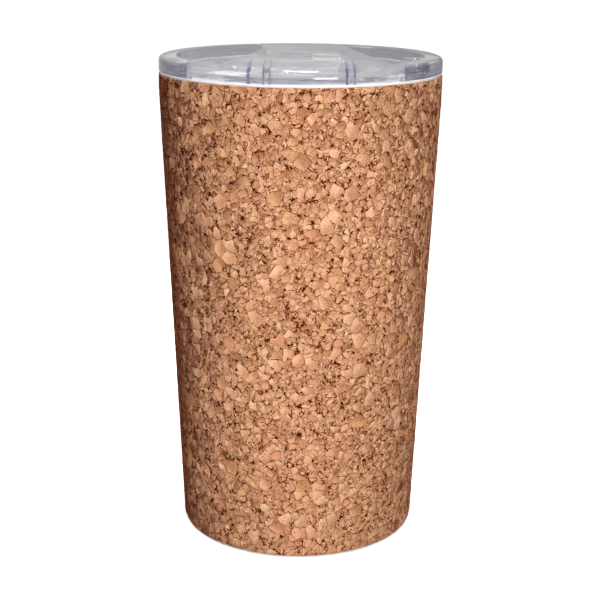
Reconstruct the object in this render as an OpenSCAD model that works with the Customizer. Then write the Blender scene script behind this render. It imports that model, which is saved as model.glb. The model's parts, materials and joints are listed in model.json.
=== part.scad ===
// Cork-covered, double-wall travel tumbler with a clear push-on lid and a slide closure.
// Millimetres. The origin is the centre of the underside, +Z is up and -Y is the front.
// The drinking side of the lid is at -X and its vent at +X.

/* [Cork sleeve] */
// Outside diameter of the straight band at the top
cork_top_d = 88; // [87:0.5:90]
// Outside diameter at the bottom edge
cork_bottom_d = 76.6; // [74:0.2:80]
// Height of the sleeve
cork_h = 147; // [120:1:170]
// Thickness of the sleeve
cork_t = 1.6; // [1.2:0.1:1.8]
// Height of the straight band under the rim
band_h = 6; // [4:0.5:10]

/* [Steel body] */
// Thickness of the steel sheet
steel_t = 0.5; // [0.4:0.1:0.6]
// Inside diameter of the mouth
mouth_d = 77.2; // [77:0.1:77.4]
// Height of the drinking floor above the table
floor_z = 9; // [8.5:0.5:14]
// Depth of the straight neck that takes the lid's plug
neck_h = 17; // [16:0.5:20]

/* [Lid] */
// Height of the lid's top above the cork
lid_rise = 5.4; // [5.2:0.1:6]
// Inside diameter of the lid's ring
pocket_d = 76.8; // [76.4:0.1:77]
// Depth of the two pockets below the ring
pocket_depth = 3.4; // [3.3:0.1:3.5]
// Depth of the plug below the rim
plug_h = 13; // [12:0.5:14]
// Wall thickness of the clear mouldings
wall_t = 1.6; // [1.4:0.1:1.7]
// Length of the drink slot
slot_l = 18; // [14:0.5:18]
// Width of the drink slot
slot_w = 4.8; // [4.4:0.1:4.8]
// Diameter of the vent hole
vent_d = 2.4; // [1.8:0.1:2.6]

/* [Slide closure] */
// Width of the sliding plate, front to back
plate_w = 19; // [18.6:0.1:19.4]
// Length of the sliding plate
plate_l = 32; // [30:0.5:33]
// Travel from open to closed
slider_travel = 14.4; // [13:0.1:14.4]

/* [Hidden] */
$fn = 96;

// Shared small sizes
eps = 0.05;          // clearance between pieces that sit against each other
far = 200;           // longer than anything that has to be cut
arc_steps = 8;       // straight pieces in the arc of a rounded edge

// Heights
pad_t = 0.5;                       // foot pad
hem_z = 0.3;                       // underside of the outer wall's hem
cork_z0 = 0.85;                    // bottom edge of the cork
cork_z1 = cork_z0 + cork_h;        // top edge of the cork
band_z = cork_z1 - band_h;         // where the taper meets the straight band
rim_t = 0.7;                       // rim bead above the cork
rim_z = cork_z1 + rim_t;
neck_z = rim_z - neck_h;
lid_z0 = rim_z + eps;
lid_z1 = cork_z1 + lid_rise;
deck_z = lid_z1 - pocket_depth;    // top of the lid's deck, the floor of the pockets
plug_z = lid_z0 - plug_h;

// Radii
cork_top_r = cork_top_d / 2;
cork_bottom_r = cork_bottom_d / 2;
mouth_r = mouth_d / 2;
pocket_r = pocket_d / 2;
lid_r = cork_top_r;

// Radius of the cork's outside, the outer wall's outside and inside, at height z
function sleeve_r(z) = z >= band_z ? cork_top_r
    : cork_bottom_r + (cork_top_r - cork_bottom_r) * (z - cork_z0) / (band_z - cork_z0);
function shell_r(z) = sleeve_r(z) - cork_t - eps;
function shell_in(z) = shell_r(z) - steel_t;

// The liner keeps the gap that it has at the foot of the neck
vacuum_gap = shell_in(neck_z) - mouth_r - steel_t;
function liner_in(z) = shell_in(z) - vacuum_gap - steel_t;

// Points of an arc, from angle a0 to angle a1
function arc(cx, cy, r, a0, a1, n = arc_steps) =
    [for (i = [0:n]) let (a = a0 + (a1 - a0) * i / n) [cx + r * cos(a), cy + r * sin(a)]];

// Points of a cubic curve from p0 to p3, pulled towards p1 and p2
function cubic(p0, p1, p2, p3, n = 16) =
    [for (i = [0:n]) let (t = i / n, s = 1 - t)
        s * s * s * p0 + 3 * s * s * t * p1 + 3 * s * t * t * p2 + t * t * t * p3];

// ---- Cork sleeve ----

cork_edge_r = 0.8;   // rounding of the cork's bottom corner
cork_lip_r = 0.3;    // rounding of the cork's top corner

module cork_wrap() {
    color("#bd7f54")
    rotate_extrude()
    polygon(concat(
        [[sleeve_r(cork_z0) - cork_t, cork_z0]],
        arc(sleeve_r(cork_z0 + cork_edge_r) - cork_edge_r, cork_z0 + cork_edge_r, cork_edge_r, -90, 0),
        [[cork_top_r, band_z]],
        arc(cork_top_r - cork_lip_r, cork_z1 - cork_lip_r, cork_lip_r, 0, 90),
        [[cork_top_r - cork_t, cork_z1], [cork_top_r - cork_t, band_z]]
    ));
}

// ---- Outer wall, with a rim bead above the cork and a hem below it ----

bead_r = cork_top_r - 0.2;        // outside of the rim bead
hem_r = cork_bottom_r - 0.3;      // outside of the hem
bead_edge_r = 0.25;               // rounding of the bead and the hem
weld_r = shell_in(cork_z1);       // where the two walls are welded at the rim

module outer_wall() {
    bead_z = cork_z1 + eps;
    hem_top = cork_z0 - eps;
    color("#e6e2dc")
    rotate_extrude()
    polygon(concat(
        [[shell_in(cork_z0), hem_z]],
        arc(hem_r - bead_edge_r, hem_z + bead_edge_r, bead_edge_r, -90, 0),
        [[hem_r, hem_top], [shell_r(cork_z0), hem_top], [shell_r(band_z), band_z]],
        [[shell_r(cork_z1), bead_z], [bead_r, bead_z]],
        arc(bead_r - bead_edge_r, rim_z - bead_edge_r, bead_edge_r, 0, 90),
        [[weld_r, rim_z], [weld_r, band_z]]
    ));
}

// ---- Welded bottom of the outer wall, with the dimple that takes the seal ----

base_z = 3;           // underside of the bottom
base_flange_z = 1.3;  // foot of its turned-down flange
dimple_r = 6;         // dimple's foot
dimple_h = 1.3;       // dimple's height
dimple_slope = 1;     // how far the dimple's side leans in
port_r = 1;           // evacuation port

module outer_base() {
    flange_r = shell_in(cork_z0) - eps;
    roof = base_z + dimple_h;
    color("silver")
    rotate_extrude()
    polygon([
        [port_r, roof], [dimple_r - dimple_slope, roof], [dimple_r, base_z],
        [flange_r - steel_t, base_z], [flange_r - steel_t, base_flange_z],
        [flange_r, base_flange_z], [flange_r, base_z + steel_t],
        [dimple_r + steel_t / 2, base_z + steel_t],
        [dimple_r - dimple_slope + steel_t / 2, roof + steel_t], [port_r, roof + steel_t]
    ]);
}

// Bead that fills the evacuation port and spreads under it
module seal_bead() {
    bead_d = 5;
    bead_drop = 0.8;
    color("#6d7a80")
    union() {
        translate([0, 0, base_z + dimple_h])
            cylinder(r = port_r, h = steel_t);
        translate([0, 0, base_z + dimple_h - bead_drop])
            rotate_extrude()
            polygon(concat([[0, 0]], arc(bead_d / 2 - bead_drop, bead_drop, bead_drop, -90, 0), [[0, bead_drop]]));
    }
}

// ---- Getter pellet and its strap, inside the vacuum ----

getter_x = 16;
getter_r = 4;
getter_t = 1.4;
strap_w = 4;
strap_t = 0.3;

module getter() {
    color("dimgray")
    translate([getter_x, 0, base_z + steel_t])
        cylinder(r = getter_r, h = getter_t);
}

module getter_clip() {
    leg_x = getter_r + eps;
    foot_l = 2;
    strap_z = base_z + steel_t;
    color("lightgray")
    translate([getter_x, -strap_w / 2, strap_z])
    union() {
        translate([-leg_x - strap_t, 0, getter_t + eps])
            cube([2 * (leg_x + strap_t), strap_w, strap_t]);
        for (side = [0, 1])
            mirror([side, 0, 0]) {
                translate([leg_x, 0, 0])
                    cube([strap_t, strap_w, getter_t + eps + strap_t]);
                translate([leg_x, 0, 0])
                    cube([foot_l, strap_w, strap_t]);
            }
    }
}

// ---- Liner: wall with a straight neck and a flanged rim, and a welded bottom ----

pan_r = 2;                 // corner radius of the liner's bottom
pan_z = floor_z + pan_r;   // where the bottom is welded to the wall
lip_r = 0.4;               // rounding of the mouth's edge

module inner_wall() {
    color("#c9ccd0")
    rotate_extrude()
    polygon(concat(
        [[liner_in(pan_z), pan_z], [liner_in(pan_z) + steel_t, pan_z]],
        [[mouth_r + steel_t, neck_z], [mouth_r + steel_t, rim_z - steel_t]],
        [[weld_r - eps, rim_z - steel_t], [weld_r - eps, rim_z]],
        arc(mouth_r + lip_r, rim_z - lip_r, lip_r, 90, 180),
        [[mouth_r, neck_z]]
    ));
}

module inner_base() {
    corner_x = liner_in(pan_z) - pan_r;
    color("#c9ccd0")
    rotate_extrude()
    polygon(concat(
        [[0, floor_z - steel_t]],
        arc(corner_x, pan_z, pan_r + steel_t, -90, 0),
        arc(corner_x, pan_z, pan_r, 0, -90),
        [[0, floor_z]]
    ));
}

// ---- Underside ----

cap_z = pad_t + eps;       // underside of the base cap
cap_t = 0.5;               // thickness of the base cap
cap_lip_h = 1.2;           // height of its turned-up edge

module base_cap() {
    cap_r = shell_in(cork_z0) - steel_t - 2 * eps;
    color("#e6e2dc")
    rotate_extrude()
    polygon([
        [0, cap_z], [cap_r - cap_t, cap_z], [cap_r, cap_z + cap_t],
        [cap_r, cap_z + cap_lip_h], [cap_r - cap_t, cap_z + cap_lip_h],
        [cap_r - cap_t, cap_z + cap_t], [0, cap_z + cap_t]
    ]);
}

module foot_pad() {
    pad_r = 33;
    pad_edge_r = 0.3;
    groove_r = 20;
    groove_w = 3;
    groove_d = 0.25;
    color("#d8d8d6")
    difference() {
        rotate_extrude()
        polygon(concat(
            [[0, 0]],
            arc(pad_r - pad_edge_r, pad_edge_r, pad_edge_r, -90, 0),
            [[pad_r, pad_t], [0, pad_t]]
        ));
        translate([0, 0, -1])
            difference() {
                cylinder(r = groove_r + groove_w / 2, h = 1 + groove_d);
                translate([0, 0, -1])
                    cylinder(r = groove_r - groove_w / 2, h = far);
            }
    }
}

// ---- Lid ----

ring_edge_r = 1.4;        // rounding of the ring's outer top edge
ring_inner_edge_r = 0.5;  // rounding of the ring's inner top edge
ring_foot = 0.2;          // chamfer at the ring's foot
skirt_r = mouth_r - 0.7;  // outside of the plug skirt
skirt_t = 1.5;
groove_z = plug_z + 3;    // gasket groove
groove_h = 6;
groove_d = 0.6;
seam_left = -33;          // where the bridge replaces the ring at the front
seam_right = 30;
back_left = -14.6;        // and at the back
back_right = 14.8;

// The bridge's two long sides, from the front of the lid to its back
function left_side(inset = 0) = cubic(
    [-26 + inset, -lid_r], [-22.5 + inset, -15], [-8 + inset, 10], [back_left + inset, pocket_r + 1]);
function right_side(inset = 0) = cubic(
    [28.6 - inset, -lid_r], [25 - inset, -15], [17 - inset, 8], [back_right - inset, pocket_r + 1]);
function reversed(list) = [for (i = [len(list) - 1:-1:0]) list[i]];

// Plan of the bridge between its long sides, inset by a wall thickness for its inside
module bridge_plan(inset, h) {
    linear_extrude(height = h)
        polygon(concat(left_side(inset), reversed(right_side(inset))));
}

// Everything between the two seams at the front, and between the two at the back
module seam_slab(gap, z, h) {
    translate([seam_left + gap, -far, z])
        cube([seam_right - seam_left - 2 * gap, far, h]);
    translate([back_left + gap, 0, z])
        cube([back_right - back_left - 2 * gap, far, h]);
}

module drink_slot() {
    slot_x = -29.6;
    end_y = (slot_l - slot_w) / 2;
    translate([slot_x, 0, deck_z - far / 2]) {
        translate([-slot_w / 2, -end_y, 0])
            cube([slot_w, 2 * end_y, far]);
        for (y = [-end_y, end_y])
            translate([0, y, 0])
                cylinder(d = slot_w, h = far);
    }
}

vent_x = 35.2;
vent_y = -2;
vent_boss_r = 4.2;
vent_boss_z = lid_z1 - 0.8;
vent_mouth_d = 3.8;
vent_mouth_h = 0.7;

module vent_boss() {
    intersection() {
        translate([vent_x, vent_y, deck_z - eps])
            cylinder(r = vent_boss_r, h = vent_boss_z - deck_z + eps);
        cylinder(r = pocket_r + 1, h = far);
    }
}

module vent_bore() {
    translate([vent_x, vent_y, deck_z - far / 2])
        cylinder(d = vent_d, h = far);
    translate([vent_x, vent_y, vent_boss_z - vent_mouth_h])
        cylinder(d1 = vent_d, d2 = vent_mouth_d, h = vent_mouth_h + eps);
}

rail_t = 1.2;
rail_h = 1;
rail_x0 = -11.5;
rail_x1 = 15;
plate_side_gap = 0.25;

// Two rails on the deck that guide the sliding plate
module rails() {
    rail_y = plate_w / 2 + plate_side_gap;
    for (side = [0, 1])
        mirror([0, side, 0])
            translate([rail_x0, rail_y, deck_z - eps])
                cube([rail_x1 - rail_x0, rail_t, rail_h + eps]);
}

module lid_moulding() {
    deck_under = deck_z - wall_t;
    rotate_extrude()
    polygon(concat(
        [[0, deck_under], [skirt_r - skirt_t, deck_under], [skirt_r - skirt_t, plug_z]],
        [[skirt_r - skirt_t / 2, plug_z], [skirt_r, plug_z + skirt_t / 2]],
        [[skirt_r, groove_z], [skirt_r - groove_d, groove_z]],
        [[skirt_r - groove_d, groove_z + groove_h], [skirt_r, groove_z + groove_h]],
        [[skirt_r, lid_z0], [lid_r - ring_foot, lid_z0], [lid_r, lid_z0 + ring_foot]],
        arc(lid_r - ring_edge_r, lid_z1 - ring_edge_r, ring_edge_r, 0, 90),
        arc(pocket_r + ring_inner_edge_r, lid_z1 - ring_inner_edge_r, ring_inner_edge_r, 90, 180),
        [[pocket_r, deck_z], [0, deck_z]]
    ));
}

module lid_body() {
    color("#c3c3cc", 0.6)
    difference() {
        union() {
            lid_moulding();
            vent_boss();
            rails();
        }
        // The ring is open at the front and the back, where the bridge fills it
        intersection() {
            difference() {
                translate([0, 0, lid_z0 - wall_t])
                    cylinder(r = far, h = far);
                cylinder(r = pocket_r, h = far + far);
            }
            seam_slab(0, lid_z0 - wall_t, far);
        }
        drink_slot();
        vent_bore();
    }
}

// ---- Bridge: a clear cover from the front of the ring to its back ----

roof_t = 1.6;             // thickness of the bridge's roof
front_t = 1.8;            // thickness of its front and back walls
front_edge_r = 3.6;       // rounding from the roof down to the front wall
front_steps = 14;
grip_l = 8.4;             // length of the slider's thumb grip
stop_gap = 0.3;           // clearance between the grip and each end of the window
window_x1 = 12.5;
window_x0 = window_x1 - grip_l - slider_travel - 2 * stop_gap;
window_y = 8;
roof_rib_h = 0.45;        // ribs under the roof stand above the sliding plate
plate_t = 1.1;
plate_z = deck_z + eps;
flank_slot_h = plate_t + 0.2;

// Centre and thickness of the upright ribs behind the front wall
RIBS = [[-14.7, 0.9], [-9.6, 2.1], [13.1, 0.9], [15.3, 0.6]];

// A solid disc from height z0 to z1 with a rounded top edge and a chamfered foot
module round_disc(r, z0, z1, edge_r, foot, n = arc_steps) {
    rotate_extrude()
    polygon(concat(
        [[0, z0], [r - foot, z0], [r, z0 + foot]],
        arc(r - edge_r, z1 - edge_r, edge_r, 0, 90, n),
        [[0, z1]]
    ));
}

// The front half of everything, or the back half
module half_space(front) {
    translate([-far, front ? -2 * far : 0, 0])
        cube([2 * far, 2 * far, 2 * far]);
}

// The lid's outline, with the bridge's large rounding in front and the ring's small one behind
module lid_outline() {
    intersection() {
        round_disc(lid_r, lid_z0, lid_z1, front_edge_r, ring_foot, front_steps);
        half_space(true);
    }
    intersection() {
        round_disc(lid_r, lid_z0, lid_z1, ring_edge_r, ring_foot);
        half_space(false);
    }
}

// Outside of the bridge: between the long sides over the deck, and between the seams in the ring
module bridge_outside() {
    intersection() {
        lid_outline();
        union() {
            translate([0, 0, deck_z])
                bridge_plan(0, far);
            difference() {
                seam_slab(eps, lid_z0 - 1, far);
                cylinder(r = pocket_r + eps, h = far + far);
            }
        }
    }
}

// Inside of the bridge, open underneath. Outside its long sides the ring keeps an inner wall.
module bridge_inside() {
    roof_z = lid_z1 - roof_t;
    intersection() {
        round_disc(lid_r - front_t, lid_z0 - 1, roof_z, front_edge_r - front_t, eps, front_steps);
        union() {
            translate([0, 0, deck_z - eps])
                bridge_plan(wall_t, far);
            difference() {
                translate([0, 0, lid_z0 - 1])
                    bridge_plan(wall_t, far);
                cylinder(r = pocket_r, h = far + far);
            }
            difference() {
                seam_slab(wall_t, lid_z0 - 1, far);
                cylinder(r = pocket_r + wall_t, h = far + far);
            }
        }
    }
}

// Upright ribs in the front of the ring, and shallow ribs under the roof that run on from them
module bridge_ribs() {
    roof_z = lid_z1 - roof_t;
    rib_foot = lid_z0 + 0.3;
    intersection() {
        cylinder(r = lid_r - front_t + eps, h = roof_z + eps);
        union() {
            difference() {
                for (rib = RIBS)
                    translate([rib[0] - rib[1] / 2, -far, rib_foot])
                        cube([rib[1], far, far]);
                cylinder(r = pocket_r + 2 * eps, h = far + far);
            }
            for (rib = RIBS)
                translate([rib[0] - rib[1] / 2, -far / 2, roof_z - roof_rib_h])
                    cube([rib[1], far / 2 - window_y - 2, far]);
        }
    }
}

module lid_bridge() {
    color("#d2d0d6", 0.6)
    difference() {
        union() {
            difference() {
                bridge_outside();
                bridge_inside();
            }
            bridge_ribs();
        }
        // Window for the thumb grip
        translate([window_x0, -window_y, deck_z])
            cube([window_x1 - window_x0, 2 * window_y, far]);
        // Slot in the left side for the sliding plate
        translate([-lid_r, -plate_w / 2 - plate_side_gap, deck_z - 1])
            cube([lid_r + window_x0, plate_w + 2 * plate_side_gap, 1 + flank_slot_h]);
    }
}

// ---- Lid gasket: a band in the groove with two sealing lips ----

module lid_gasket() {
    band_r = skirt_r - groove_d + eps / 2;
    band_out = skirt_r + eps;
    lip_reach = mouth_r - 0.1;   // the lips stop just short of the neck
    lip_h = 0.8;
    z0 = groove_z + eps;
    z1 = groove_z + groove_h - eps;
    color("#dcdcdc")
    rotate_extrude()
    polygon(concat(
        [[band_r, z0], [band_out, z0]],
        [for (z = [z0 + 1, z1 - 1 - 2 * lip_h])
            each [[band_out, z], [lip_reach, z + lip_h], [lip_reach, z + 1.4 * lip_h], [band_out, z + 2 * lip_h]]],
        [[band_out, z1], [band_r, z1]]
    ));
}

// ---- Slide closure: a plate on the deck with a thumb grip in the window ----

module slider() {
    plate_x0 = -18.3;
    corner_r = 2.5;       // rounding of the plate's leading corners
    grip_side_gap = 0.7;  // clearance between the grip and the window's front and back
    grip_rise = 0.6;      // how far the grip stands above the lid
    grip_lean = 1;        // how far its front and back faces lean in
    grip_x0 = window_x1 - stop_gap - grip_l;
    grip_y = window_y - grip_side_gap;
    grip_h = lid_z1 + grip_rise - plate_z;
    color("#d9d9de", 0.7)
    union() {
        // Plate with two rounded corners at its leading edge
        translate([plate_x0 + corner_r, -plate_w / 2, plate_z])
            cube([plate_l - corner_r, plate_w, plate_t]);
        translate([plate_x0, -plate_w / 2 + corner_r, plate_z])
            cube([plate_l, plate_w - 2 * corner_r, plate_t]);
        for (side = [-1, 1])
            translate([plate_x0 + corner_r, side * (plate_w / 2 - corner_r), plate_z])
                cylinder(r = corner_r, h = plate_t);
        // Thumb grip, with leaning front and back faces
        translate([grip_x0, 0, plate_z])
            rotate([90, 0, 90])
            linear_extrude(height = grip_l)
            polygon([
                [-grip_y, 0], [grip_y, 0],
                [grip_y - grip_lean, grip_h], [-grip_y + grip_lean, grip_h]
            ]);
    }
}

cork_wrap();
outer_wall();
outer_base();
seal_bead();
getter();
getter_clip();
inner_wall();
inner_base();
base_cap();
foot_pad();
lid_body();
lid_bridge();
lid_gasket();
slider();
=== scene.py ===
"""The looks of the cork-covered travel tumbler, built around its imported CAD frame. Metres throughout.
The front is -Y, and the drinking side of the lid is at -X."""

import json
import math

import bmesh
import bpy
import numpy as np
from mathutils import Matrix, Vector


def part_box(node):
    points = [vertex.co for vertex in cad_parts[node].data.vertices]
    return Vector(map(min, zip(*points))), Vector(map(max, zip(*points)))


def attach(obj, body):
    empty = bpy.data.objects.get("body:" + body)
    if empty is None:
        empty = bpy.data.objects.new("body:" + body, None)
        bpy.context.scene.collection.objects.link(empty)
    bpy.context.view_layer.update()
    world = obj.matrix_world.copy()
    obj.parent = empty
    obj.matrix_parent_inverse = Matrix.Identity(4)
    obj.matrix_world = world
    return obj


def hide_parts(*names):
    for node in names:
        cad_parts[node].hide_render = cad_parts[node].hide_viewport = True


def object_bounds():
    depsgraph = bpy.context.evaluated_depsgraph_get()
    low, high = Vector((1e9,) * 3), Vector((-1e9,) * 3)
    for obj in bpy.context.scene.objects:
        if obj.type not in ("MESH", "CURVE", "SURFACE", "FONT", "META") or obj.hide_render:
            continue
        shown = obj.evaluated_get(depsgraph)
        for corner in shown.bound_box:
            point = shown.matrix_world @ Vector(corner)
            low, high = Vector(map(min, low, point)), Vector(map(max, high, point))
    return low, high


MM = 0.001

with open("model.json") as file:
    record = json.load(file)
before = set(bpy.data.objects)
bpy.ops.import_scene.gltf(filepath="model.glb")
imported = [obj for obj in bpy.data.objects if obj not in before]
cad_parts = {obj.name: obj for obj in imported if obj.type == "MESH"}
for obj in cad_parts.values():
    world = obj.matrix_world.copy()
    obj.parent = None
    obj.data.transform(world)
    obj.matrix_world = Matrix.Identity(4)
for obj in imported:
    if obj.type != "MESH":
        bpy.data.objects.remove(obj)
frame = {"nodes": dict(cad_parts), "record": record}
cad_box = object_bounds()
nodes = frame["nodes"]


# ---- Camera, floor and lights ----


def aim(obj, target):
    """Turns a light or the camera to look at a point."""
    obj.rotation_mode = "QUATERNION"
    obj.rotation_quaternion = (target - obj.location).to_track_quat("-Z", "Y")


def make_camera():
    """A short telephoto view from in front and a little above, turned a little round its own axis."""
    eye = (0, -0.40391, 0.18949)
    pitch = 0.2788  # radians below the level
    roll = 0.0075
    data = bpy.data.cameras.new("camera")
    data.lens = 76.89
    data.sensor_width = 36
    data.shift_x = 0.0019
    cam = bpy.data.objects.new("camera", data)
    bpy.context.scene.collection.objects.link(cam)
    forward = Vector((0, math.cos(pitch), -math.sin(pitch)))
    right = Vector((1, 0, 0))
    up = Vector((0, math.sin(pitch), math.cos(pitch)))
    x_axis = math.cos(roll) * right + math.sin(roll) * up
    y_axis = math.cos(roll) * up - math.sin(roll) * right
    turn = Matrix((x_axis, y_axis, -forward)).transposed().to_4x4()
    cam.matrix_world = Matrix.Translation(eye) @ turn
    bpy.context.scene.camera = cam


def softbox(name, azimuth, elevation, distance, width, height, watts, colour=(1, 1, 1)):
    """A soft area light that faces the middle of the object. Azimuth 0 is in front and 90 on the right."""
    middle = (cad_box[0] + cad_box[1]) / 2
    a, e = math.radians(azimuth), math.radians(elevation)
    data = bpy.data.lights.new(name, "AREA")
    data.shape = "RECTANGLE"
    data.size = width
    data.size_y = height
    data.energy = watts
    data.color = colour
    lamp = bpy.data.objects.new(name, data)
    bpy.context.scene.collection.objects.link(lamp)
    towards = Vector((math.sin(a) * math.cos(e), -math.cos(a) * math.cos(e), math.sin(e)))
    lamp.location = middle + towards * distance
    aim(lamp, middle)
    return lamp


class Nodes:
    """Short calls that add and join the nodes of one tree, for a material or for geometry."""

    def __init__(self, tree):
        self.tree = tree

    def add(self, kind, **settings):
        node = self.tree.nodes.new(kind)
        for key, value in settings.items():
            setattr(node, key, value)
        return node

    def put(self, value, socket):
        """Puts a plain value or another node's output into an input."""
        if isinstance(value, bpy.types.NodeSocket):
            self.tree.links.new(value, socket)
        else:
            socket.default_value = value

    def math(self, operation, *values):
        node = self.add("ShaderNodeMath", operation=operation)
        for value, socket in zip(values, node.inputs):
            self.put(value, socket)
        return node.outputs[0]

    def vector(self, operation, *values):
        node = self.add("ShaderNodeVectorMath", operation=operation)
        for value, socket in zip(values, node.inputs):
            self.put(value, socket)
        return node.outputs[0]

    def dot(self, a, b):
        node = self.add("ShaderNodeVectorMath", operation="DOT_PRODUCT")
        self.put(a, node.inputs[0])
        self.put(b, node.inputs[1])
        return node.outputs["Value"]

    def scaled(self, vector, factor):
        node = self.add("ShaderNodeVectorMath", operation="SCALE")
        self.put(vector, node.inputs["Vector"])
        self.put(factor, node.inputs["Scale"])
        return node.outputs[0]

    def split(self, vector):
        node = self.add("ShaderNodeSeparateXYZ")
        self.put(vector, node.inputs[0])
        return node.outputs

    def join(self, x, y, z):
        node = self.add("ShaderNodeCombineXYZ")
        for value, socket in zip((x, y, z), node.inputs):
            self.put(value, socket)
        return node.outputs[0]

    def fit(self, value, low, high, to_low=0.0, to_high=1.0, smooth=True):
        """A value between low and high, fitted to another range and held at its ends."""
        node = self.add("ShaderNodeMapRange", interpolation_type="SMOOTHSTEP" if smooth else "LINEAR")
        for item, name in ((value, "Value"), (low, "From Min"), (high, "From Max")):
            self.put(item, node.inputs[name])
        self.put(to_low, node.inputs["To Min"])
        self.put(to_high, node.inputs["To Max"])
        return node.outputs[0]

    def noise(self, position, size, detail=2.0, roughness=0.5):
        """Noise whose features are about as large as size, in metres. Its value and its colour."""
        node = self.add("ShaderNodeTexNoise")
        self.put(position, node.inputs["Vector"])
        node.inputs["Scale"].default_value = 1 / size
        node.inputs["Detail"].default_value = detail
        node.inputs["Roughness"].default_value = roughness
        return node.outputs[0], node.outputs[1]

    def voronoi(self, position, size, feature="F1"):
        node = self.add("ShaderNodeTexVoronoi", feature=feature)
        self.put(position, node.inputs["Vector"])
        node.inputs["Scale"].default_value = 1 / size
        return node.outputs

    def mix(self, factor, a, b, blend="MIX"):
        """Two colours mixed."""
        node = self.add("ShaderNodeMix", data_type="RGBA", blend_type=blend)
        self.put(factor, node.inputs[0])
        self.put(a, node.inputs[6])
        self.put(b, node.inputs[7])
        return node.outputs[2]

    def choose(self, factor, a, b):
        """Two numbers mixed."""
        node = self.add("ShaderNodeMix", data_type="FLOAT")
        self.put(factor, node.inputs[0])
        self.put(a, node.inputs[2])
        self.put(b, node.inputs[3])
        return node.outputs[0]

    def ramp(self, factor, stops):
        """A colour ramp from (place, colour) stops."""
        node = self.add("ShaderNodeValToRGB")
        elements = node.color_ramp.elements
        while len(elements) < len(stops):
            elements.new(0.5)
        for element, (place, colour) in zip(elements, stops):
            element.position = place
            element.color = (*colour, 1)
        self.put(factor, node.inputs[0])
        return node.outputs[0]

    def bump(self, height, distance):
        """A bump whose height input is 0 to 1 and whose full height is distance."""
        node = self.add("ShaderNodeBump")
        node.inputs["Strength"].default_value = 1.0
        node.inputs["Distance"].default_value = distance
        self.put(height, node.inputs["Height"])
        return node.outputs[0]


class Material(Nodes):
    """A Principled material with its own node tree."""

    def __init__(self, name, **plain):
        self.data = bpy.data.materials.new(name)
        self.data.use_nodes = True
        super().__init__(self.data.node_tree)
        self.bsdf = self.tree.nodes["Principled BSDF"]
        self.place = self.add("ShaderNodeTexCoord").outputs["Object"]
        self.set(**plain)

    def set(self, **values):
        """Sets the shader's inputs, whose names have _ for a space."""
        for key, value in values.items():
            self.put(value, self.bsdf.inputs[key.replace("_", " ")])


def make_floor():
    """A pale floor that glows white, so that no shadow falls on it, with a painted contact shadow: it glows a
    little less in a thin ring round the base.
    """
    half = 12
    corners = [(-half, -half, 0), (half, -half, 0), (half, half, 0), (-half, half, 0)]
    mesh = bpy.data.meshes.new("floor")
    mesh.from_pydata(corners, [], [(0, 1, 2, 3)])
    floor = bpy.data.objects.new("floor", mesh)
    bpy.context.scene.collection.objects.link(floor)
    paint = Material("floor_white", Roughness=0.9, Specular_IOR_Level=0.0)
    mottle = paint.noise(paint.place, 0.4)[0]
    away = paint.add("ShaderNodeVectorMath", operation="LENGTH")
    paint.put(paint.place, away.inputs[0])
    # Painted contact shadow: the glow is dimmer within about 45 mm of the axis, round the foot of the base
    paint.set(
        Base_Color=paint.mix(mottle, (0.80, 0.80, 0.81, 1), (0.82, 0.82, 0.83, 1)),
        Emission_Color=(1, 1, 1, 1),
        Emission_Strength=paint.fit(away.outputs["Value"], 37 * MM, 45 * MM, 0.8, 1.0),
    )
    mesh.materials.append(paint.data)
    # The floor is only looked at: it lights nothing and shows in nothing
    floor.visible_diffuse = False
    floor.visible_glossy = False
    floor.visible_transmission = False


def make_room():
    """A white room to look at. What the plastic and the metal reflect is grey below and on the right, and the
    cork gets only a trace of red from the room, as light that has bounced between granules."""
    world = bpy.data.worlds.new("room")
    bpy.context.scene.world = world
    world.use_nodes = True
    room = Nodes(world.node_tree)
    background = world.node_tree.nodes["Background"]
    rays = room.add("ShaderNodeLightPath").outputs
    bent_ray = room.math("MAXIMUM", rays["Is Glossy Ray"], rays["Is Transmission Ray"])
    x, _, z = room.split(room.add("ShaderNodeTexCoord").outputs["Generated"])
    height = room.ramp(
        room.fit(z, -1.0, 1.0, smooth=False),
        (
            (0.30, (0.46, 0.46, 0.46)),
            (0.50, (0.56, 0.56, 0.56)),
            (0.62, (0.62, 0.62, 0.62)),
            (0.85, (0.90, 0.90, 0.90)),
        ),
    )
    side = room.ramp(
        room.fit(x, -1.0, 1.0, smooth=False),
        ((0.40, (1.0, 1.0, 1.0)), (0.64, (0.50, 0.50, 0.53))),
    )
    glow = room.mix(bent_ray, (1, 1, 1, 1), room.mix(1.0, height, side, "MULTIPLY"))
    room.put(room.mix(rays["Is Diffuse Ray"], glow, (0.08, 0.006, 0.0, 1)), background.inputs["Color"])


def make_lights():
    """A key lamp and two dimmer, warmer ones behind light the cork and the paint. A front and a left lamp
    shine on the plastic and the metal, and a top lamp does both."""
    key = softbox("key", 11, 2, 0.34, 0.12, 0.2, 1.12)
    rear = [
        softbox(f"rear_{azimuth}", azimuth, 12, 0.34, 0.12, 0.2, 0.55, (1.0, 0.84, 0.70))
        for azimuth in (160, 205)
    ]
    front = softbox("front", 20, 25, 1.3, 0.40, 0.45, 7)
    left = softbox("left", -70, 45, 1.2, 0.5, 0.5, 8)
    softbox("top", 0, 90, 1.1, 0.25, 0.25, 6)
    for lamp in (key, *rear):
        lamp.visible_glossy = False
        lamp.visible_transmission = False
    for lamp in (front, left):
        lamp.visible_diffuse = False


def make_stage():
    """A pale floor, a white room and soft lights."""
    scene = bpy.context.scene
    scene.view_settings.view_transform = "Standard"
    make_floor()
    make_room()
    make_lights()
    # Enough for light that runs round inside the clear plastic
    scene.cycles.max_bounces = 32
    scene.cycles.glossy_bounces = 24
    scene.cycles.transmission_bounces = 24


# ---- Cork ----

# The sizes of the granules, and the share of cells of each size that aren't broken into smaller ones
GRANULES = ((3.5 * MM, 0.22), (2.2 * MM, 0.62), (1.3 * MM, 1.0))


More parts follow.
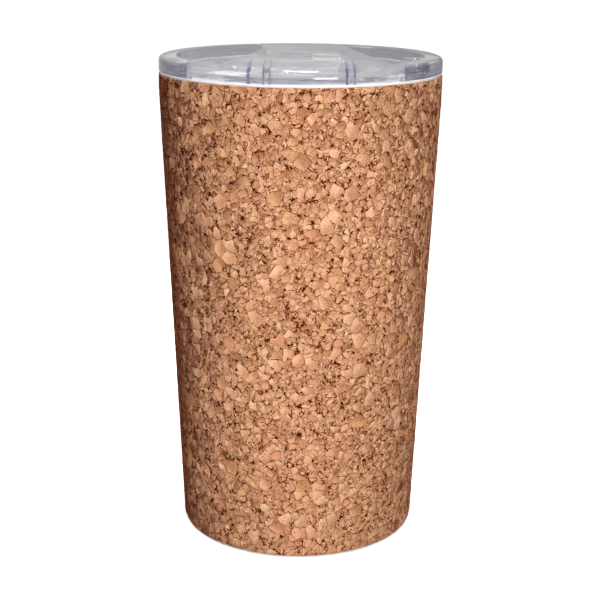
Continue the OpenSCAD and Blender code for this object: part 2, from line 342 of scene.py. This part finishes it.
def cork_granules(tree, place):
    """Agglomerated cork at a place. Gives the distance to the nearest joint between granules in metres, three
    numbers that are random for each granule, the height of its tilted face in metres, the place with the warp
    that makes granules ragged, and how much the spot is one of the crumbly patches of fragments, 0 to 1."""
    middle = (0.5, 0.5, 0.5)
    coarse = tree.vector("SUBTRACT", tree.noise(place, 1.9 * MM, detail=3.0, roughness=0.6)[1], middle)
    warped = tree.vector("ADD", place, tree.scaled(coarse, 1.5 * MM))
    crumbs = tree.fit(tree.noise(place, 3.5 * MM, detail=2.0)[0], 0.62, 0.70)
    joint = None
    chance = None
    face = None
    taken = None
    fewer_in_crumbs = 0.25
    for size, share in GRANULES:
        cells = tree.voronoi(warped, size)
        edge = tree.math("MULTIPLY", tree.voronoi(warped, size, "DISTANCE_TO_EDGE")[0], size)
        random = cells["Color"]
        tilt = tree.vector("SUBTRACT", random, middle)
        slope = tree.dot(tree.vector("SUBTRACT", warped, cells["Position"]), tilt)
        kept = tree.math("MULTIPLY_ADD", crumbs, -fewer_in_crumbs * share if share < 1 else 0.0, share)
        whole = tree.math("LESS_THAN", tree.split(random)[0], kept)
        if joint is None:
            joint, chance, face, taken = edge, random, slope, whole
            continue
        joint = tree.choose(taken, tree.math("MINIMUM", joint, edge), joint)
        chance = tree.mix(taken, random, chance)
        face = tree.choose(taken, slope, face)
        taken = tree.math("MAXIMUM", taken, whole)
    return joint, chance, face, warped, crumbs


def cork_gap(tree, place, joint, crumbs):
    """How open the joint between two granules is, 0 to 1, in a few places wide and in many places closed."""
    spread = tree.noise(place, 1.5 * MM, detail=3.0, roughness=0.6)[0]
    width = tree.fit(tree.math("MULTIPLY_ADD", crumbs, 0.03, spread), 0.44, 0.70, 0.01 * MM, 0.19 * MM)
    return tree.fit(joint, tree.math("MULTIPLY", width, 0.35), width, 1.0, 0.0)


def cork_material():
    relief = 0.09 * MM
    cork = Material("cork", Specular_IOR_Level=0.01)
    place = cork.add("ShaderNodeAttribute", attribute_name="rest").outputs["Vector"]
    joint, chance, face, warped, crumbs = cork_granules(cork, place)
    _, hue, shade = cork.split(chance)
    open_joint = cork_gap(cork, place, joint, crumbs)
    # The first number is below its size's share for a whole granule, so the tone comes from the other two.
    # Everything that darkens the cork lowers one tone, the painted shade of the tilted faces too, and the
    # darker the tone the redder its colour.
    grain = cork.noise(warped, 0.45 * MM, detail=3.0, roughness=0.7)[0]
    granule_tone = cork.fit(shade, 0.0, 1.0, 0.60, 0.88, smooth=False)
    grain_tone = cork.fit(grain, 0.3, 0.7, 0.74, 1.16)
    # Painted shade: each granule is lighter on the higher side of its tilted face and darker on the lower
    # side
    painted_facet_shade = cork.fit(face, -0.5 * MM, 0.5 * MM, 0.80, 1.20, smooth=False)
    tone = cork.math("MULTIPLY", cork.math("MULTIPLY", granule_tone, grain_tone), painted_facet_shade)
    rim = cork.fit(joint, 0.0, 0.20 * MM, 0.80, 1.0)
    pores = cork.fit(cork.noise(place, 0.8 * MM, detail=1.0)[0], 0.70, 0.76)
    dark = cork.math("MAXIMUM", open_joint, cork.math("MULTIPLY", pores, 0.85))
    lit = cork.math("SUBTRACT", 1.0, dark)
    body = cork.ramp(
        cork.math("MULTIPLY", cork.math("MULTIPLY", tone, rim), lit),
        (
            (0.00, (0.10, 0.012, 0.002)),
            (0.20, (0.26, 0.066, 0.014)),
            (0.40, (0.45, 0.195, 0.083)),
            (0.65, (0.71, 0.380, 0.208)),
            (0.85, (0.84, 0.490, 0.290)),
            (1.00, (0.95, 0.620, 0.400)),
        ),
    )
    pink = cork.mix(cork.fit(hue, 0.0, 0.35, 0.7, 0.0), body, (0.96, 0.82, 0.82, 1), "MULTIPLY")
    colour = cork.mix(cork.fit(hue, 0.80, 1.0, 0.0, 0.6), pink, (0.95, 1.0, 0.84, 1), "MULTIPLY")
    crown = cork.fit(joint, 0.0, 0.5 * MM, 0.0, 0.5)
    height = cork.math("SUBTRACT", cork.math("MULTIPLY_ADD", grain, 0.35, crown), dark)
    face_share = 0.8
    height = cork.math("MULTIPLY_ADD", face, face_share / relief, height)
    cork.set(
        Base_Color=colour,
        Roughness=cork.fit(grain, 0.3, 0.7, 0.82, 0.98),
        Normal=cork.bump(height, relief),
    )
    return cork.data


def quarter_turn(centre_r, centre_z, radius, start, steps=5):
    """Points of a quarter circle from an angle in degrees, in a profile's plane."""
    angles = [math.radians(start + 90 * i / steps) for i in range(steps + 1)]
    return [(centre_r + radius * math.cos(a), centre_z + radius * math.sin(a)) for a in angles]


def sleeve_profile(z0, z1, top_r, pitch):
    """Radius and height along the sleeve's closed outline, from the inside of its foot, up the outside in
    steps of about pitch, to the inside of the straight band at its top."""
    foot_r = 38.3 * MM
    thick = 1.6 * MM
    band = 6 * MM
    foot_round = 0.8 * MM
    lip_round = 0.3 * MM
    inside_gap = 0.02 * MM
    inside_top = top_r - thick + inside_gap
    start = z0 + foot_round
    end = z1 - lip_round
    rows = round((end - start) / pitch)
    heights = [start + (end - start) * i / rows for i in range(1, rows)]

    def outside(z):
        return foot_r + (top_r - foot_r) * min(1, (z - z0) / (z1 - band - z0))

    return [
        (foot_r - thick + inside_gap, z0),
        *quarter_turn(outside(start) - foot_round, start, foot_round, -90),
        *[(outside(z), z) for z in heights],
        *quarter_turn(top_r - lip_round, end, lip_round, 0),
        (inside_top, z1),
        (inside_top, z1 - band),
    ]


def turned(name, profile, around):
    """A mesh made by turning a closed profile round the axis in a number of steps."""
    angle = np.arange(around) * 2 * math.pi / around
    r, z = np.array(profile).T
    points = np.empty((len(profile), around, 3))
    points[..., 0] = r[:, None] * np.cos(angle)
    points[..., 1] = r[:, None] * np.sin(angle)
    points[..., 2] = z[:, None]
    i, j = np.meshgrid(np.arange(len(profile)), np.arange(around), indexing="ij")
    ni, nj = (i + 1) % len(profile), (j + 1) % around
    faces = np.stack([i * around + j, i * around + nj, ni * around + nj, ni * around + j], axis=-1)
    mesh = bpy.data.meshes.new(name)
    mesh.from_pydata(points.reshape(-1, 3), [], faces.reshape(-1, 4).tolist())
    mesh.update()
    return mesh


def cork_sleeve():
    """The cork sleeve with its granules in relief, as a fine grid closed over its edges and inside."""
    low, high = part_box("cork_wrap")
    pitch = 0.36 * MM
    profile = sleeve_profile(low.z, high.z, high.x, pitch)
    around = round(2 * math.pi * high.x / pitch)
    sleeve = bpy.data.objects.new("cork_sleeve", turned("cork_sleeve", profile, around))
    bpy.context.scene.collection.objects.link(sleeve)
    carve_relief(sleeve, low.z, high.z)
    sleeve.data.polygons.foreach_set("use_smooth", [True] * len(sleeve.data.polygons))
    sleeve.data.materials.append(cork_material())
    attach(sleeve, "cup")
    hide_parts("cork_wrap")


def carve_relief(obj, z0, z1):
    """Sinks the joints between granules into the mesh and sets the granules at slightly different heights.
    The same nodes colour the material, which finds the place before carving in the attribute rest."""
    tree = bpy.data.node_groups.new("cork_relief", "GeometryNodeTree")
    tree.interface.new_socket("Geometry", in_out="INPUT", socket_type="NodeSocketGeometry")
    tree.interface.new_socket("Geometry", in_out="OUTPUT", socket_type="NodeSocketGeometry")
    g = Nodes(tree)
    start = g.add("NodeGroupInput")
    end = g.add("NodeGroupOutput")
    place = g.add("GeometryNodeInputPosition").outputs[0]
    keep = g.add("GeometryNodeStoreNamedAttribute", data_type="FLOAT_VECTOR", domain="POINT")
    keep.inputs["Name"].default_value = "rest"
    g.put(start.outputs[0], keep.inputs["Geometry"])
    g.put(place, keep.inputs["Value"])
    joint, chance, _, _, crumbs = cork_granules(g, place)
    open_joint = cork_gap(g, place, joint, crumbs)
    joint_depth = 0.28 * MM
    crown_height = 0.06 * MM
    step = 0.10 * MM  # the most that one granule sits below its neighbours
    lift = 0.06 * MM  # keeps the middle of the relief on the sleeve's outline
    crowned = g.math("MULTIPLY", g.fit(joint, 0.0, 0.5 * MM, 0.0, 1.0), crown_height)
    uneven = g.math("MULTIPLY", g.split(chance)[1], step)
    sunk = g.math("ADD", g.math("MULTIPLY", open_joint, -joint_depth), crowned)
    depth = g.math("ADD", g.math("SUBTRACT", sunk, uneven), lift)
    x, y, z = g.split(place)
    out = g.vector("NORMALIZE", g.join(x, y, 0.0))
    # The rounded edges at the top and the bottom stay plain
    ends = g.math("MINIMUM", g.math("SUBTRACT", z, z0), g.math("SUBTRACT", z1, z))
    near_end = g.fit(ends, 0.0, 0.4 * MM)
    move = g.add("GeometryNodeSetPosition")
    g.put(keep.outputs[0], move.inputs["Geometry"])
    g.put(g.scaled(out, g.math("MULTIPLY", depth, near_end)), move.inputs["Offset"])
    g.put(move.outputs[0], end.inputs[0])
    carver = obj.modifiers.new("relief", "NODES")
    carver.node_group = tree
    bpy.context.view_layer.update()
    carved = bpy.data.meshes.new_from_object(obj.evaluated_get(bpy.context.evaluated_depsgraph_get()))
    obj.modifiers.remove(carver)
    obj.data = carved
    obj.data.name = obj.name


# ---- The other materials ----


def cylinder_place(mat):
    """Distance from the object's axis, angle round it and height."""
    x, y, z = mat.split(mat.place)
    radius = mat.math("SQRT", mat.math("ADD", mat.math("MULTIPLY", x, x), mat.math("MULTIPLY", y, y)))
    return radius, mat.math("ARCTAN2", y, x), z


def white_coat():
    mat = Material("white_coat", Specular_IOR_Level=0.5)
    peel = mat.noise(mat.place, 0.6 * MM, detail=3.0)[0]
    cloud = mat.noise(mat.place, 9 * MM, detail=2.0)[0]
    mat.set(
        Base_Color=mat.mix(cloud, (0.80, 0.77, 0.73, 1), (0.88, 0.86, 0.83, 1)),
        Roughness=mat.fit(peel, 0.3, 0.7, 0.32, 0.48),
        Normal=mat.bump(peel, 0.03 * MM),
    )
    return mat.data


def brushed_steel():
    """Stainless steel with lathe marks round the axis."""
    mat = Material("brushed_steel", Metallic=1.0, Anisotropic=0.5)
    radius, angle, z = cylinder_place(mat)
    along = mat.join(radius, mat.math("MULTIPLY", angle, 0.4 * MM), z)
    lines = mat.noise(along, 0.12 * MM, detail=3.0, roughness=0.7)[0]
    cloud = mat.noise(mat.place, 14 * MM, detail=3.0)[0]
    tone = mat.mix(lines, (0.72, 0.73, 0.74, 1), (0.86, 0.87, 0.88, 1))
    mat.set(
        Base_Color=mat.mix(mat.fit(cloud, 0.3, 0.7), tone, (0.93, 0.93, 0.95, 1), "MULTIPLY"),
        Roughness=mat.fit(lines, 0.25, 0.75, 0.34, 0.50),
        Normal=mat.bump(lines, 0.012 * MM),
    )
    return mat.data


# Painted shade: dark lines where the cover's upright ribs would show through it, the centre and width of each
# line, in mm
RIB_SHADE_LINES = ((-14.7, 0.8), (-10.5, 0.25), (-8.6, 0.25), (13.1, 0.7), (15.3, 0.4))


def clear_plastic(
    name,
    clear,
    haze,
    ior,
    ring=None,
    tinted=None,
    tint_share=(1.0, 1.0),
    milk=0.0,
    edge_frost=0.0,
    lines=(),
):
    """Clear rigid plastic with faint moulding waves and handling marks. Its colour is clear, with ring on the
    lid's ring and tinted in streaks on the upright outside, by the first tint_share in front and the second
    behind. Milk is how much of the light it scatters, and edge_frost how much more its rounded edges do."""
    pocket_edge = (38.0 * MM, 38.6 * MM)
    skin = (40.5 * MM, 42.0 * MM)
    front_to_back = (5 * MM, 22 * MM)
    line_front = (-16 * MM, -14 * MM)
    line_blur = 0.15
    mat = Material(name, IOR=ior, Coat_Weight=0.8, Coat_Roughness=0.05)
    radius, angle, z = cylinder_place(mat)
    x, y, _ = mat.split(mat.place)
    wave = mat.noise(mat.place, 9 * MM, detail=1.0)[0]
    scuff = mat.noise(mat.place, 0.7 * MM, detail=4.0, roughness=0.7)[0]
    cloud = mat.noise(mat.place, 4 * MM, detail=2.0)[0]
    shade = (*clear, 1)
    if ring:
        shade = mat.mix(mat.fit(radius, *pocket_edge), shade, (*ring, 1))
    if tinted:
        facing = mat.split(mat.add("ShaderNodeNewGeometry").outputs["Normal"])[2]
        upright = mat.fit(mat.math("ABSOLUTE", facing), 0.3, 0.8, 1.0, 0.0)
        thick = mat.math("MULTIPLY", mat.fit(radius, *skin), upright)
        thick = mat.math("MULTIPLY", thick, mat.fit(y, *front_to_back, *tint_share))
        around = mat.join(0.0, mat.math("MULTIPLY", angle, 2.5 * MM), z)
        streak = mat.noise(around, 0.45 * MM, detail=3.0)[0]
        side_tint = mat.mix(mat.fit(streak, 0.40, 0.60), (*tinted, 1), (0.50, 0.48, 0.61, 1))
        shade = mat.mix(thick, shade, side_tint)
    # Painted shade: a dark line on the front part of the cover, in front of each rib
    for centre, width in lines:
        off = mat.math("ABSOLUTE", mat.math("SUBTRACT", x, centre * MM))
        line = mat.fit(off, width / 2 * MM, (width / 2 + line_blur) * MM, 1.0, 0.0)
        line = mat.math("MULTIPLY", line, mat.fit(y, *line_front, 1.0, 0.0))
        shade = mat.mix(line, shade, (0.34, 0.31, 0.46, 1))
    clearness = 1.0 - milk
    if edge_frost:
        frosted = mat.add("ShaderNodeAttribute", attribute_name="edge").outputs["Fac"]
        clearness = mat.math("MULTIPLY_ADD", frosted, -edge_frost, clearness)
    mat.set(
        Base_Color=mat.mix(mat.fit(cloud, 0.3, 0.7), shade, (0.96, 0.96, 0.965, 1), "MULTIPLY"),
        Transmission_Weight=clearness,
        Roughness=mat.fit(scuff, 0.45, 0.8, haze, haze + 0.07),
        Normal=mat.bump(mat.math("MULTIPLY_ADD", scuff, 0.02, wave), 0.05 * MM),
    )
    return mat.data


def softened(node, name, material):
    """A copy of a CAD node with its sharp edges rounded off, shown in its place. Its attribute edge is 1 on
    the rounded strips."""
    rounding = 0.2 * MM
    weld = 0.02 * MM
    flat_angle = math.radians(1.5)
    sharp_angle = math.radians(32)
    crease_angle = math.radians(40)
    mesh = nodes[node].data.copy()
    mesh.name = name
    piece = bpy.data.objects.new(name, mesh)
    bpy.context.scene.collection.objects.link(piece)
    work = bmesh.new()
    work.from_mesh(mesh)
    bmesh.ops.remove_doubles(work, verts=work.verts, dist=weld)
    bmesh.ops.dissolve_limit(
        work,
        angle_limit=flat_angle,
        verts=work.verts,
        edges=work.edges,
        use_dissolve_boundaries=False,
    )
    sharp = [e for e in work.edges if e.is_manifold and e.calc_face_angle(0) > sharp_angle]
    rounded = bmesh.ops.bevel(
        work,
        geom=sharp,
        offset=rounding,
        offset_type="OFFSET",
        segments=2,
        profile=0.6,
        affect="EDGES",
        clamp_overlap=True,
    )
    on_edge = work.loops.layers.float.new("edge")
    for face in rounded["faces"]:
        for corner in face.loops:
            corner[on_edge] = 1.0
    bmesh.ops.triangulate(work, faces=[f for f in work.faces if len(f.verts) > 4])
    work.to_mesh(mesh)
    work.free()
    mesh.materials.clear()
    mesh.materials.append(material)
    mesh.shade_smooth()
    mesh.set_sharp_from_angle(angle=crease_angle)
    body = next(b for b, members in frame["record"]["behaviour"]["bodies"].items() if node in members)
    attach(piece, body)
    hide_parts(node)
    piece.visible_shadow = False


def silicone(name, light, dark):
    mat = Material(name, Specular_IOR_Level=0.4, Subsurface_Weight=0.25, Subsurface_Scale=1.5 * MM)
    mat.set(Subsurface_Radius=(1.0, 0.9, 0.8))
    grain = mat.noise(mat.place, 0.35 * MM, detail=3.0)[0]
    cloud = mat.noise(mat.place, 5 * MM, detail=2.0)[0]
    mat.set(
        Base_Color=mat.mix(cloud, (*dark, 1), (*light, 1)),
        Roughness=mat.fit(grain, 0.3, 0.7, 0.5, 0.68),
        Normal=mat.bump(grain, 0.02 * MM),
    )
    return mat.data


def solder_glass():
    mat = Material("solder_glass", Specular_IOR_Level=0.6, Coat_Weight=0.4, Coat_Roughness=0.1)
    swirl = mat.noise(mat.place, 1.5 * MM, detail=4.0)[0]
    mat.set(
        Base_Color=mat.ramp(swirl, ((0.3, (0.05, 0.07, 0.07)), (0.7, (0.16, 0.20, 0.20)))),
        Roughness=mat.fit(swirl, 0.3, 0.7, 0.15, 0.35),
        Normal=mat.bump(swirl, 0.05 * MM),
    )
    return mat.data


def getter_metal():
    mat = Material("getter_metal", Metallic=0.6)
    grain = mat.noise(mat.place, 0.25 * MM, detail=5.0, roughness=0.7)[0]
    mat.set(
        Base_Color=mat.ramp(grain, ((0.35, (0.06, 0.06, 0.065)), (0.65, (0.22, 0.21, 0.20)))),
        Roughness=mat.fit(grain, 0.3, 0.7, 0.55, 0.8),
        Normal=mat.bump(grain, 0.06 * MM),
    )
    return mat.data


def paint(material, *names):
    """Gives CAD nodes their finished material."""
    for name in names:
        slots = nodes[name].data.materials
        slots.clear()
        slots.append(material)


make_camera()
make_stage()
cork_sleeve()
paint(white_coat(), "outer_wall", "base_cap")
paint(brushed_steel(), "outer_base", "inner_wall", "inner_base", "getter_clip")
softened(
    "lid_body",
    "clear_lid",
    clear_plastic(
        "clear_plastic",
        clear=(0.915, 0.915, 0.92),
        haze=0.04,
        ior=1.06,
        ring=(0.83, 0.83, 0.84),
        tinted=(0.20, 0.18, 0.28),
        tint_share=(1.0, 0.4),
    ),
)
softened(
    "lid_bridge",
    "clear_bridge",
    clear_plastic(
        "clear_cover",
        clear=(0.965, 0.962, 0.965),
        haze=0.05,
        ior=1.03,
        tinted=(0.40, 0.37, 0.52),
        tint_share=(0.15, 0.9),
        milk=0.02,
        edge_frost=0.8,
        lines=RIB_SHADE_LINES,
    ),
)
softened(
    "slider",
    "clear_slide",
    clear_plastic("clear_slider", clear=(0.98, 0.98, 0.98), haze=0.06, ior=1.04, milk=0.05, edge_frost=0.4),
)
paint(silicone("seal_silicone", (0.82, 0.82, 0.83), (0.74, 0.74, 0.76)), "lid_gasket")
paint(silicone("pad_silicone", (0.66, 0.66, 0.65), (0.56, 0.56, 0.55)), "foot_pad")
paint(solder_glass(), "seal_bead")
paint(getter_metal(), "getter")
